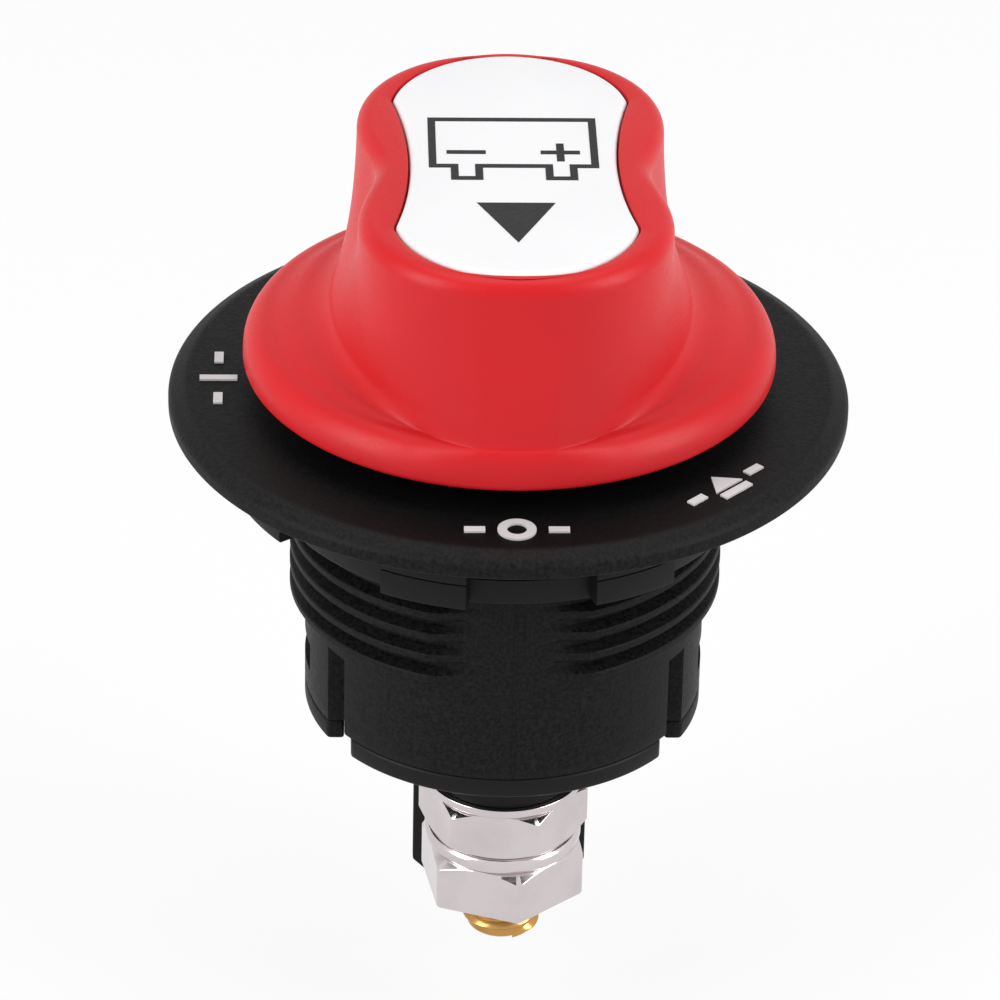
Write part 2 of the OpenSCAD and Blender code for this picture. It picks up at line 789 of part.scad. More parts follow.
module battery_symbol() {
    color("#202020") translate([0, 0, label_top - ink_t]) linear_extrude(ink_t) battery_outline();
}

module pointer_mark() {
    color("#202020") translate([0, 0, label_top - ink_t]) linear_extrude(ink_t) pointer_outline();
}

module key_stem() {
    color("#404040") difference() {
        union() {
            translate([0, 0, socket_end + clear]) cylinder(d = stem_d, h = boss_end - socket_end - clear);
            translate([0, 0, hub_top + 0.7]) cylinder(r = boss_r, h = boss_end - hub_top - 0.7);
            translate([-shank_w / 2, -shank_w / 2, boss_end - 0.5])
                cube([shank_w, shank_w, shank_top - boss_end + 0.5]);
            intersection() {
                translate([0, 0, socket_end + clear])
                    cylinder(r = lug_r, h = ring_floor - socket_end - 2 * clear);
                translate([-lug_w / 2, -lug_r - cut, socket_end + clear])
                    cube([lug_w, 2 * (lug_r + cut), ring_floor - socket_end - 2 * clear]);
            }
        }
        translate([0, 0, 11]) cylinder(r = 2 + seat_gap, h = 10);
    }
}

module stem_screw() {
    color("silver") difference() {
        union() {
            translate([0, 0, 11.5]) cylinder(r = 2, h = label_floor - 2 - 11.5 + 0.1);
            translate([0, 0, label_floor - 2]) cylinder(r = 3.6, h = 1.8);
        }
        translate([0, 0, label_floor - 1.4]) cylinder(r = 1.6, h = 2, $fn = 6);
    }
}

housing();
position_marks();
keyway_ring();
keyway_screws();
base();
stud(-1);  // stud_front
stud(1);  // stud_rear
contact_pad(-1);  // contact_pad_front
contact_pad(1);  // contact_pad_rear
flat_washer(-1);  // flat_washer_front
flat_washer(1);  // flat_washer_rear
hex_nut(-1, inner_nut_end, inner_nut_h, inner_turn, true);  // inner_nut_front
hex_nut(1, inner_nut_end, inner_nut_h, inner_turn, true);  // inner_nut_rear
lock_washer(-1);  // lock_washer_front
lock_washer(1);  // lock_washer_rear
hex_nut(-1, outer_nut_end, outer_nut_h, outer_turn, false);  // outer_nut_front
hex_nut(1, outer_nut_end, outer_nut_h, outer_turn, false);  // outer_nut_rear
panel_nut();
rotor();
rotor_seal();
thrust_washer();
detent_ball(-90);  // detent_ball_front
detent_ball(90);  // detent_ball_rear
detent_spring(-90);  // detent_spring_front
detent_spring(90);  // detent_spring_rear
contact_bridge();
bridge_contacts();
contact_spring();
knob();
label();
battery_symbol();
pointer_mark();
key_stem();
stem_screw();
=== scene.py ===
"""Looks of a panel-mounted rotary battery switch with a removable key knob.

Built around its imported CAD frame.
"""

import json
import math

import bmesh
import bpy
import numpy as np
from mathutils import Matrix, Vector


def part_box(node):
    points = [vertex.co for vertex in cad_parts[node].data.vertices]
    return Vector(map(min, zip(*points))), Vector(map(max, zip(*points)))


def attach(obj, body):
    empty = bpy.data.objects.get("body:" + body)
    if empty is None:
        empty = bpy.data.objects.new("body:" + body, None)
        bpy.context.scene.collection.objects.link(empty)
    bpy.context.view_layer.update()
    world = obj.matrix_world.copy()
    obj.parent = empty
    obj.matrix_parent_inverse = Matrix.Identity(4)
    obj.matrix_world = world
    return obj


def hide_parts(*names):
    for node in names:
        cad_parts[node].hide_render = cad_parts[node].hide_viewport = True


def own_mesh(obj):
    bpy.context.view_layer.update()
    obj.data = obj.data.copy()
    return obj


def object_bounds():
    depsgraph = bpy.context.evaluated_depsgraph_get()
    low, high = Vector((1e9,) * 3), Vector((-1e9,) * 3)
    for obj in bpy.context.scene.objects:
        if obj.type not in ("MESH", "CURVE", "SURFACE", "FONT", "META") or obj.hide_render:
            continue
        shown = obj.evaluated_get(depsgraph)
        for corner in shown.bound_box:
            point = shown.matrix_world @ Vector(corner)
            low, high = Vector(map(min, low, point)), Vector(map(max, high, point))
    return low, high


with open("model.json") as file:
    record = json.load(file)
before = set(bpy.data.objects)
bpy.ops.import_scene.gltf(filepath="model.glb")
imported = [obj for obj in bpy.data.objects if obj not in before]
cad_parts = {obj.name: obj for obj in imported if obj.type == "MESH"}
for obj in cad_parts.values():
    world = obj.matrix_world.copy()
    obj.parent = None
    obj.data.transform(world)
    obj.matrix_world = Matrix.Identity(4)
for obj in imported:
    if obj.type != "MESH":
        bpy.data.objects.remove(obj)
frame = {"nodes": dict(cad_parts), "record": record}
cad_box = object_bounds()

MM = 0.001
TAU = 2 * math.pi


# ---------------------------------------------------------------- sizes, in mm

def span(node):
    """Lowest and highest corner of a CAD node in millimetres."""
    low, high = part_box(node)
    return np.array(low) / MM, np.array(high) / MM


HOUSING_LOW, HOUSING_HIGH = span("housing")
NUT_LOW, NUT_HIGH = span("panel_nut")
BASE_LOW, BASE_HIGH = span("base")
KNOB_LOW, KNOB_HIGH = span("knob")
LABEL_LOW, LABEL_HIGH = span("label")
RING_LOW, RING_HIGH = span("keyway_ring")
STUD_LOW, STUD_HIGH = span("stud_front")

# Flange and hub
FLANGE_R = HOUSING_HIGH[0]
FLANGE_TOP = span("position_marks")[0][2]
RIM_H = 1.3
BEVEL = 1.7
HUB_TOP = HOUSING_HIGH[2]
HUB_R = 20.3
RING_R = RING_HIGH[0] + 0.05
RING_FLOOR = RING_LOW[2]
KEYHOLE_R = 9.0

# Barrel
EAR_END = HOUSING_LOW[2]
BARREL_END = EAR_END + 2.05
BARREL_R = 20.0
ROOT_R = BARREL_R + 0.2
THREAD_DEPTH = 1.35
CREST_R = ROOT_R + THREAD_DEPTH
CAVITY_R = BARREL_R - 2.4
CEILING = -2.0
THREAD_PITCH = 2.4
THREAD_START = -4.0
THREAD_TURNS = 7.4
THREAD_CREST = 0.35
THREAD_FLANK = 0.5
THREAD_SHOULDER = 1.23
THREAD_END = -21.1
NOTCH_TOP = THREAD_END - 1.4
EAR_X = 16.05
EAR_HALF = 9.35
WINDOW_HALF = 4.5
WINDOW_Z = (-28.7, -25.7)

# Ring nut, with its angles in degrees
NUT_TURN = 4.1
NUT_WALL = 1.85
TOOTH_OUT = 1.5
TOOTH_OFFSET = 24.7
TOOTH_HALF = 10.1
WING_OUT = 4.5
WING_HALF = 32.5
WING_H = 3.25

# Base moulding
PLATE_INSET = 0.65
POST_R = 7.5
WALL_HALF_L = 8.85
WALL_HALF_T = 0.7
WALL_CUT = 1.3

# Mechanism
COLLAR_R = 12.28
COLLAR_WALL = 2.0
COLLAR_END = -7.5
BALL_LOW, BALL_HIGH = span("detent_ball_rear")
BALL_TRAVEL = 0.4

# Room under the studs for the ring nut at the end of its travel
NUT_CLEARANCE = 12

# Terminals
STUD_Y = (STUD_HIGH[1] + STUD_LOW[1]) / 2
STUD_R = 4.0
STUD_END = STUD_LOW[2]
WASHER_LIP = 0.4
HEX_HALF = span("lock_washer_front")[1][0] - WASHER_LIP
HEX_CORNER = HEX_HALF / math.cos(math.pi / 6)
INNER_TURN = -8
OUTER_TURN = -20
CONE_SLOPE = 35
SLIT_HALF = 0.4
STUD_THREAD_DEPTH = 0.6
STUD_PITCH = 1.25
HEAD_H = 3

# Knob
SKIRT_R = KNOB_HIGH[0]
KNOB_BOTTOM = KNOB_LOW[2]
KNOB_TOP = KNOB_HIGH[2]
SKIRT_H = 4.1
SKIRT_ROUND_H = 3.0
SHELF_R = SKIRT_R - 2.6
FOOT_HALF_W = 18.3
GRIP_HALF_W = 17.3
GRIP_HALF_L = 24.3
WAIST = 0.23
WAIST_REACH = 10.0
KNOB_WALL = 2.6
SCREW_HOLE_R = 2.2
STEM_HOLE_R = 4.0
STEM_HOLE_TOP = 19.0
BOSS_R = 7.5
BOSS_END = 9.0
LABEL_GAP = 0.15
LABEL_HALF_L = LABEL_HIGH[1]
LABEL_CORNER_HALF = 11.55
LABEL_WAIST_HALF = 10.0
LABEL_CORNER_Y = 13.1


# ------------------------------------------------------------- mesh building

def new_object(name, verts, faces, sharp=32):
    """A smooth-shaded mesh object from points in mm; edges over `sharp` degrees stay crisp."""
    mesh = bpy.data.meshes.new(name)
    mesh.from_pydata([tuple(v) for v in np.asarray(verts, float) * MM], [], faces)
    mesh.validate()
    mesh.shade_smooth()
    mesh.set_sharp_from_angle(angle=math.radians(sharp))
    piece = bpy.data.objects.new(name, mesh)
    bpy.context.scene.collection.objects.link(piece)
    return piece


def grid_faces(rows, columns, closed_rows=False):
    """Quads between rings of `columns` points; a closed grid also joins the last ring to the first."""
    faces = []
    for j in range(rows if closed_rows else rows - 1):
        a = j * columns
        b = ((j + 1) % rows) * columns
        for i in range(columns):
            k = (i + 1) % columns
            faces.append((a + i, a + k, b + k, b + i))
    return faces


def ring_solid(name, rings, closed=False, sharp=32):
    """A solid through a list of rings, each an array of points; open ends get flat caps."""
    columns = len(rings[0])
    faces = grid_faces(len(rings), columns, closed_rows=closed)
    if not closed:
        last = (len(rings) - 1) * columns
        faces.append(tuple(range(columns))[::-1])
        faces.append(tuple(range(last, last + columns)))
    return new_object(name, np.concatenate(rings), faces, sharp)


def soften(points, steps=5):
    """Rounds the corners of a closed outline of (u, v, radius) points; radius 0 keeps a corner."""
    out = []
    count = len(points)
    for i, (u, v, radius) in enumerate(points):
        here = np.array([u, v], float)
        before = np.array(points[i - 1][:2], float) - here
        after = np.array(points[(i + 1) % count][:2], float) - here
        if radius <= 0:
            out.append(here)
            continue
        reach = min(radius, 0.45 * np.linalg.norm(before), 0.45 * np.linalg.norm(after))
        a = here + before / np.linalg.norm(before) * reach
        b = here + after / np.linalg.norm(after) * reach
        for s in np.linspace(0, 1, steps):
            out.append((1 - s) ** 2 * a + 2 * s * (1 - s) * here + s * s * b)
    return np.array(out)


def circle_angles(count, extra=()):
    """Angles round the circle in radians; extra (degrees) adds a tight pair at each break."""
    angles = set(np.round(np.arange(count) * 360 / count, 4))
    for t in extra:
        angles.update(np.round([(t - 0.05) % 360, (t + 0.05) % 360], 4))
    return np.radians(sorted(angles))


def ring(r, z, angles, centre=(0, 0)):
    """A ring of points at radius r (one number or one for each angle) and height z."""
    r = np.broadcast_to(r, angles.shape)
    z = np.broadcast_to(z, angles.shape)
    return np.stack([centre[0] + r * np.cos(angles), centre[1] + r * np.sin(angles), z], axis=1)


def lathe(name, profile, count, centre=(0, 0)):
    """Turns a closed outline of (r, z, corner radius) about a vertical axis."""
    angles = circle_angles(count)
    outline = soften(profile)
    return ring_solid(name, [ring(r, z, angles, centre) for r, z in outline], closed=True)


def join(name, pieces):
    """Joins pieces into one object, each staying a closed shell of its own."""
    for piece in bpy.context.selected_objects:
        piece.select_set(False)
    for piece in pieces:
        piece.select_set(True)
    bpy.context.view_layer.objects.active = pieces[0]
    bpy.ops.object.join()
    pieces[0].name = name
    pieces[0].data.name = name
    return pieces[0]


def bevel(piece, width, segments=3):
    """Rounds the piece's sharp edges in its own mesh."""
    mod = piece.modifiers.new("edges", "BEVEL")
    mod.width = width * MM
    mod.segments = segments
    mod.limit_method = "ANGLE"
    mod.angle_limit = math.radians(35)
    mod.use_clamp_overlap = True
    mod.harden_normals = False
    apply_modifiers(piece)
    piece.data.shade_smooth()
    piece.data.set_sharp_from_angle(angle=math.radians(40))
    return piece


def apply_modifiers(piece):
    depsgraph = bpy.context.evaluated_depsgraph_get()
    mesh = bpy.data.meshes.new_from_object(piece.evaluated_get(depsgraph))
    piece.modifiers.clear()
    piece.data = mesh


def extrusion(name, outline, low, high, up="z"):
    """A prism of an outline given in mm; up says along which axis it stands."""
    count = len(outline)
    order = {"z": lambda u, v, w: (u, v, w), "y": lambda u, v, w: (u, w, v)}[up]
    verts = [order(u, v, w) for w in (low, high) for u, v in outline]
    faces = [tuple(range(count))[::-1], tuple(range(count, 2 * count))]
    faces += [(i, (i + 1) % count, count + (i + 1) % count, count + i) for i in range(count)]
    piece = new_object(name, verts, faces)
    fix_normals(piece)
    return piece


def fix_normals(piece):
    work = bmesh.new()
    work.from_mesh(piece.data)
    bmesh.ops.recalc_face_normals(work, faces=work.faces)
    work.to_mesh(piece.data)
    work.free()


def helix_ridge(name, section, core_r, pitch, z_start, turns, per_turn, limit=None, taper=0.35,
                centre=(0, 0), phase=0.0):
    """A thread ridge: (radial height, axial place) pairs swept down a right-hand helix.

    limit(angle) caps the radius, and the ridge sinks into the core over `taper` of a turn at each end.
    """
    sunk = 0.12
    steps = int(turns * per_turn)
    rings = []
    for i in range(steps + 1):
        turn = i / per_turn
        angle = phase - turn * TAU
        fade = min(1.0, turn / taper, (turns - turn) / taper)
        fade = fade * fade * (3 - 2 * fade)
        z = z_start - pitch * turn
        points = []
        for height, along in section:
            r = core_r - sunk + (height + sunk) * fade
            if limit is not None:
                cap = limit(angle)
                r = min(r, cap if cap > core_r else cap - 0.08)
            points.append((centre[0] + r * math.cos(angle), centre[1] + r * math.sin(angle),
                           z + along))
        rings.append(np.array(points))
    return ring_solid(name, rings, sharp=28)


# ------------------------------------------------------------------ materials

def material(name, color, roughness, metallic=0.0, specular=0.5):
    mat = bpy.data.materials.new(name)
    mat.use_nodes = True
    shader = mat.node_tree.nodes["Principled BSDF"]
    shader.inputs["Base Color"].default_value = (*color, 1)
    shader.inputs["Roughness"].default_value = roughness
    shader.inputs["Metallic"].default_value = metallic
    shader.inputs["Specular IOR Level"].default_value = specular
    return mat, mat.node_tree.nodes, mat.node_tree.links, shader


def grey(value):
    return (value, value, value)


def object_coords(nodes, links, scale=(1, 1, 1)):
    coords = nodes.new("ShaderNodeTexCoord")
    mapping = nodes.new("ShaderNodeMapping")
    mapping.inputs["Scale"].default_value = scale
    links.new(coords.outputs["Object"], mapping.inputs["Vector"])
    return mapping.outputs["Vector"]


def noise(nodes, links, vector, scale, detail=4.0, rough=0.55):
    node = nodes.new("ShaderNodeTexNoise")
    node.inputs["Scale"].default_value = scale
    node.inputs["Detail"].default_value = detail
    node.inputs["Roughness"].default_value = rough
    links.new(vector, node.inputs["Vector"])
    return node.outputs["Fac"]


def remap(nodes, links, value, low, high, new_low, new_high):
    node = nodes.new("ShaderNodeMapRange")
    node.inputs["From Min"].default_value = low
    node.inputs["From Max"].default_value = high
    node.inputs["To Min"].default_value = new_low
    node.inputs["To Max"].default_value = new_high
    links.new(value, node.inputs["Value"])
    return node.outputs["Result"]


def mix_color(nodes, links, factor, color_a, color_b):
    node = nodes.new("ShaderNodeMix")
    node.data_type = "RGBA"
    node.inputs["A"].default_value = (*color_a, 1)
    node.inputs["B"].default_value = (*color_b, 1)
    links.new(factor, node.inputs["Factor"])
    return node.outputs["Result"]


def add_bump(nodes, links, shader, height, strength, distance):
    node = nodes.new("ShaderNodeBump")
    node.inputs["Strength"].default_value = strength
    node.inputs["Distance"].default_value = distance
    links.new(height, node.inputs["Height"])
    links.new(node.outputs["Normal"], shader.inputs["Normal"])


def plastic(name, color, dark, roughness, grain, depth, specular=0.5):
    """Moulded plastic: slow colour drift, fine spark-eroded grain in bump and roughness."""
    mat, nodes, links, shader = material(name, color, roughness, specular=specular)
    place = object_coords(nodes, links)
    drift = noise(nodes, links, place, 60, 2)
    links.new(mix_color(nodes, links, remap(nodes, links, drift, 0.35, 0.65, 0, 1), color, dark),
              shader.inputs["Base Color"])
    fine = noise(nodes, links, place, grain, 3, 0.6)
    links.new(remap(nodes, links, fine, 0.3, 0.7, roughness - 0.05, roughness + 0.07),
              shader.inputs["Roughness"])
    add_bump(nodes, links, shader, fine, 0.6, depth * MM)
    return mat


def metal(name, color, dark, roughness, scratch=(1, 1, 1)):
    """Plated or turned metal with faint machining lines and a little tarnish."""
    mat, nodes, links, shader = material(name, color, roughness, metallic=1.0)
    place = object_coords(nodes, links)
    stain = noise(nodes, links, place, 160, 5)
    links.new(mix_color(nodes, links, remap(nodes, links, stain, 0.35, 0.7, 0, 1), color, dark),
              shader.inputs["Base Color"])
    lines = noise(nodes, links, object_coords(nodes, links, scratch), 900, 4)
    links.new(remap(nodes, links, lines, 0.3, 0.7, roughness * 0.7, roughness * 1.4),
              shader.inputs["Roughness"])
    add_bump(nodes, links, shader, lines, 0.35, 0.002 * MM)
    return mat


def flange_plastic(name):
    """Grainy black housing plastic, speckled; on the flange's top it is even and darker, the darkness
    being painted shade from the knob above.
    """
    mat, nodes, links, shader = material(name, grey(0.006), 0.5, specular=0.09)
    place = object_coords(nodes, links)
    parts = nodes.new("ShaderNodeSeparateXYZ")
    links.new(place, parts.inputs["Vector"])
    # Mask of the flange's top face, where painted shade darkens the black
    flat = remap(nodes, links, parts.outputs["Z"], (FLANGE_TOP - 0.12) * MM,
                 (FLANGE_TOP - 0.02) * MM, 0, 1)
    fine = noise(nodes, links, place, 2600, 2, 0.6)
    speck = remap(nodes, links, fine, 0.35, 0.65, 0, 1)
    side = mix_color(nodes, links, speck, grey(0.003), grey(0.011))
    # Painted shade: the flange's top gets an even, darker black in place of the speckle
    painted_top_shade = nodes.new("ShaderNodeMix")
    painted_top_shade.data_type = "RGBA"
    links.new(flat, painted_top_shade.inputs["Factor"])
    links.new(side, painted_top_shade.inputs["A"])
    painted_top_shade.inputs["B"].default_value = (*grey(0.0025), 1)
    links.new(painted_top_shade.outputs["Result"], shader.inputs["Base Color"])
    links.new(remap(nodes, links, fine, 0.3, 0.7, 0.44, 0.6), shader.inputs["Roughness"])
    add_bump(nodes, links, shader, fine, 0.8, 0.06 * MM)
    return mat


# Slot: colour, its darker drift, roughness, grain scale, grain depth in mm, specular level
PLASTICS = {
    "base_plastic": (grey(0.006), grey(0.004), 0.44, 2600, 0.010, 0.15),
    "nut_plastic": (grey(0.005), grey(0.004), 0.46, 2800, 0.012, 0.14),
    "keyway_plastic": ((0.03, 0.03, 0.032), (0.024, 0.024, 0.026), 0.45, 2600, 0.010),
    "rotor_plastic": ((0.25, 0.25, 0.22), (0.22, 0.22, 0.19), 0.5, 2200, 0.010),
    "washer_nylon": ((0.72, 0.68, 0.58), (0.68, 0.63, 0.52), 0.5, 1800, 0.006),
    "seal_rubber": (grey(0.02), grey(0.028), 0.7, 1500, 0.010),
    "knob_red": ((0.580, 0.012, 0.016), (0.540, 0.010, 0.013), 0.40, 3000, 0.014, 0.22),
    "label_white": ((0.80, 0.80, 0.81), (0.77, 0.77, 0.78), 0.42, 1800, 0.003, 0.4),
    "mark_white": (grey(0.66), grey(0.56), 0.55, 3000, 0.010, 0.3),
    "ink_black": (grey(0.010), grey(0.014), 0.5, 2400, 0.004, 0.2),
}

# Slot: colour, its tarnish, roughness, stretch of the machining lines
METALS = {
    "bright_steel": ((0.64, 0.58, 0.59), (0.56, 0.51, 0.52), 0.16, (1, 1, 6)),
    "plain_steel": ((0.55, 0.55, 0.56), (0.45, 0.45, 0.46), 0.3, (1, 1, 6)),
    "contact_silver": ((0.78, 0.77, 0.74), (0.66, 0.64, 0.58), 0.25),
    "stud_brass": ((0.60, 0.34, 0.11), (0.40, 0.20, 0.05), 0.22, (1, 1, 8)),
    "bridge_copper": ((0.72, 0.36, 0.20), (0.55, 0.25, 0.13), 0.3, (6, 1, 1)),
}

MATERIALS = {"housing_plastic": flange_plastic("housing_plastic")}
MATERIALS.update({slot: plastic(slot, *look) for slot, look in PLASTICS.items()})
MATERIALS.update({slot: metal(slot, *look) for slot, look in METALS.items()})

SLOT_OF = {part["node"]: part["material_slot"] for part in frame["record"]["subparts"]}
for node_name, node_object in frame["nodes"].items():
    node_object.data.materials.clear()
    node_object.data.materials.append(MATERIALS[SLOT_OF[node_name]])


def finish_piece(piece, body, *nodes):
    """Gives the piece its nodes' finish and its body, and hides the CAD nodes that it stands for."""
    slot = SLOT_OF[nodes[0]]
    piece.data.materials.clear()
    piece.data.materials.append(MATERIALS[slot])
    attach(piece, body)
    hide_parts(*nodes)
    return piece


# -------------------------------------------------------------------- housing

def flat_limit(angle):
    """Radius of the two flats in front and behind, where the thread is cut level with the barrel."""
    return BARREL_R / max(abs(math.sin(angle)), 1e-6)


def barrel_radius(angle, z):
    """Radius of the barrel's outside at one angle and height."""
    if z > NOTCH_TOP:
        return min(ROOT_R, flat_limit(angle))
    x, y = abs(math.cos(angle)), abs(math.sin(angle))
    if x > 0.5 and y < WINDOW_HALF / BARREL_R * 1.001 and WINDOW_Z[0] < z < WINDOW_Z[1]:
        return CAVITY_R - 0.6
    return min(BARREL_R, max(EAR_X / max(x, 1e-6), EAR_HALF / max(y, 1e-6)))


def build_housing():
    ear_edge = math.degrees(math.asin(EAR_HALF / BARREL_R))
    notch_in = math.degrees(math.atan2(EAR_HALF, EAR_X))
    notch_out = math.degrees(math.acos(EAR_X / BARREL_R))
    window = math.degrees(math.asin(WINDOW_HALF / BARREL_R))
    breaks = []
    for t in (ear_edge, notch_in, notch_out, window):
        breaks += [t, 180 - t, 180 + t, 360 - t]
    angles = circle_angles(480, breaks)

    top = soften([
        (KEYHOLE_R, RING_FLOOR, 0.1), (RING_R, RING_FLOOR, 0.1), (RING_R, HUB_TOP, 0.2),
        (HUB_R, HUB_TOP, 0.5), (HUB_R, FLANGE_TOP, 0.4),
        (FLANGE_R - BEVEL, FLANGE_TOP, 0.5), (FLANGE_R - 0.35, RIM_H + 0.45, 0.8),
        (FLANGE_R, RIM_H, 0.5), (FLANGE_R, 0, 0.25), (ROOT_R, 0, 0.0), (ROOT_R, -0.5, 0.0),
        (KEYHOLE_R, -0.5, 0.0),
    ])
    rings = [ring(r, z, angles) for r, z in top[:-2]]
    levels = list(np.linspace(-0.5, NOTCH_TOP + 0.001, 12)) + [NOTCH_TOP - 0.02]
    levels += [-24.0, WINDOW_Z[1] + 0.01, WINDOW_Z[1] - 0.01]
    levels += [WINDOW_Z[0] + 0.01, WINDOW_Z[0] - 0.01]
    levels += [-30.0, BARREL_END + 0.35]
    for z in levels:
        rings.append(ring([barrel_radius(t, z) for t in angles], z, angles))
    low = np.array([barrel_radius(t, BARREL_END) for t in angles])
    rings.append(ring(low - 0.08, BARREL_END + 0.1, angles))
    rings.append(ring(low - 0.3, BARREL_END, angles))
    groove_r = BALL_HIGH[1] + BALL_TRAVEL + 0.1
    collar_out = COLLAR_R + COLLAR_WALL
    inside = [
        (CAVITY_R, BARREL_END), (CAVITY_R, BALL_LOW[2] - 0.3), (groove_r, BALL_LOW[2] - 0.1),
        (groove_r, BALL_HIGH[2] + 0.1), (CAVITY_R, BALL_HIGH[2] + 0.3), (CAVITY_R, CEILING),
        (collar_out, CEILING), (collar_out, COLLAR_END), (COLLAR_R, COLLAR_END),
        (COLLAR_R, CEILING), (KEYHOLE_R, CEILING),
    ]
    rings += [ring(r, z, angles) for r, z in inside]
    shell = ring_solid("housing_shell", rings, closed=True)
    fix_normals(shell)

    ears = []
    for side in (0, math.pi):
        arc = [(BARREL_R * math.cos(side + t), BARREL_R * math.sin(side + t))
               for t in np.radians(np.linspace(-ear_edge, ear_edge, 40))]
        flip = math.cos(side)
        inner = [(flip * EAR_X, flip * EAR_HALF), (flip * EAR_X, -flip * EAR_HALF)]
        ear = extrusion("ear", arc + inner, EAR_END, BARREL_END + 0.001)
        ears.append(bevel(ear, 0.3, 3))
    half_section = [(0, THREAD_CREST + THREAD_FLANK), (THREAD_SHOULDER, THREAD_CREST + 0.06),
                    (THREAD_DEPTH, THREAD_CREST - 0.08)]
    section = half_section + [(height, -along) for height, along in half_section[::-1]]
    ridge = helix_ridge("barrel_thread", section, ROOT_R, THREAD_PITCH, THREAD_START, THREAD_TURNS,
                        240, flat_limit, phase=math.radians(90))
    fix_normals(ridge)
    seam = extrusion("seam", [
        (0.42, -BARREL_R - 0.05), (0.60, -BARREL_R - 0.05), (0.66, -BARREL_R + 0.2),
        (0.36, -BARREL_R + 0.2),
    ], BARREL_END + 0.3, NUT_LOW[2] - 0.2)
    piece = join("housing_shell", [shell] + ears + [ridge, seam])
    return finish_piece(piece, "housing", "housing")


# ----------------------------------------------------------------- panel nut

def build_panel_nut():
    low, high = NUT_LOW[2], NUT_HIGH[2]
    wing_low = high - WING_H
    bore = CREST_R + 0.1
    hub = bore + NUT_WALL
    tooth = hub + TOOTH_OUT
    wing = hub + WING_OUT
    teeth = [(t + side * TOOTH_OFFSET - TOOTH_HALF, t + side * TOOTH_OFFSET + TOOTH_HALF)
             for t in (-90, 90) for side in (-1, 1)]
    wings = [(t - WING_HALF, t + WING_HALF) for t in (0, 180)]
    breaks = [t + NUT_TURN for pair in teeth + wings for t in pair]
    angles = circle_angles(360, breaks)

    def reach(angle, z):
        t = math.degrees(angle) - NUT_TURN
        inside = lambda pairs: any((t - a) % 360 < b - a for a, b in pairs)
        if z > wing_low and inside(wings):
            return wing
        return tooth if inside(teeth) else hub

    rings = []
    for z, inset in [(high, 0.3), (high - 0.1, 0.08), (high - 0.3, 0), (wing_low + 0.3, 0),
                     (wing_low + 0.1, 0.05), (wing_low + 0.01, 0.2), (wing_low - 0.01, 0),
                     (low + 0.3, 0), (low + 0.1, 0.08), (low, 0.3)]:
        rings.append(ring([reach(t, z) - inset for t in angles], z, angles))
    rings.append(ring(bore + 0.3, low, angles))
    rings.append(ring(bore, low + 0.3, angles))
    rings.append(ring(bore, high - 0.3, angles))
    rings.append(ring(bore + 0.3, high, angles))
    piece = ring_solid("panel_ring_nut", rings, closed=True)
    fix_normals(piece)
    return finish_piece(piece, "panel_nut", "panel_nut")


# ---------------------------------------------------------------------- base

def build_base():
    half = EAR_X - PLATE_INSET
    edge = math.degrees(math.acos(half / BARREL_R))
    arc = lambda a, b: [(BARREL_R * math.cos(t), BARREL_R * math.sin(t))
                        for t in np.radians(np.linspace(a, b, 60))]
    outline = arc(edge, 180 - edge) + arc(180 + edge, 360 - edge)
    plate = bevel(extrusion("plate", outline, EAR_END, BARREL_END), 0.3, 3)
    plug = lathe("plug", [(0.5, BARREL_END - 0.01, 0), (CAVITY_R - 0.2, BARREL_END - 0.01, 0),
                          (CAVITY_R - 0.2, BASE_HIGH[2], 0.3), (0.5, BASE_HIGH[2], 0)], 120)
    post_end = span("flat_washer_front")[1][2]
    posts = []
    for side in (-1, 1):
        posts.append(lathe("post", [
            (STUD_R + 0.05, post_end, 0), (POST_R, post_end, 0.25), (POST_R, EAR_END - 0.2, 0),
            (POST_R + 0.5, EAR_END, 0), (POST_R + 0.5, EAR_END + 0.5, 0),
            (STUD_R + 0.05, EAR_END + 0.5, 0),
        ], 120, (0, side * abs(STUD_Y))))
    wall_low = BASE_LOW[2]
    wall = extrusion("wall", [
        (-WALL_HALF_L, EAR_END + 0.3), (WALL_HALF_L, EAR_END + 0.3),
        (WALL_HALF_L, wall_low + WALL_CUT), (WALL_HALF_L - WALL_CUT, wall_low),
        (-WALL_HALF_L + WALL_CUT, wall_low), (-WALL_HALF_L, wall_low + WALL_CUT),
    ], -WALL_HALF_T, WALL_HALF_T, up="y")
    wall = bevel(wall, 0.2, 3)
    tabs = []
    tab_half, tab_low, tab_high = WINDOW_HALF - 0.2, WINDOW_Z[0] + 0.2, WINDOW_Z[1] - 0.2
    for side in (-1, 1):
        near, far = side * (CAVITY_R - 1.5), side * (CAVITY_R + 1.8)
        shape = [(near, tab_high), (side * (CAVITY_R - 0.2), tab_high), (far, tab_low + 0.4),
                 (far, tab_low), (near, tab_low)]
        tabs.append(bevel(extrusion("tab", shape, -tab_half, tab_half, up="y"), 0.12, 2))
    piece = join("base_moulding", [plate, plug] + posts + [wall] + tabs)
    return finish_piece(piece, "housing", "base")


# ------------------------------------------------------------------ terminals

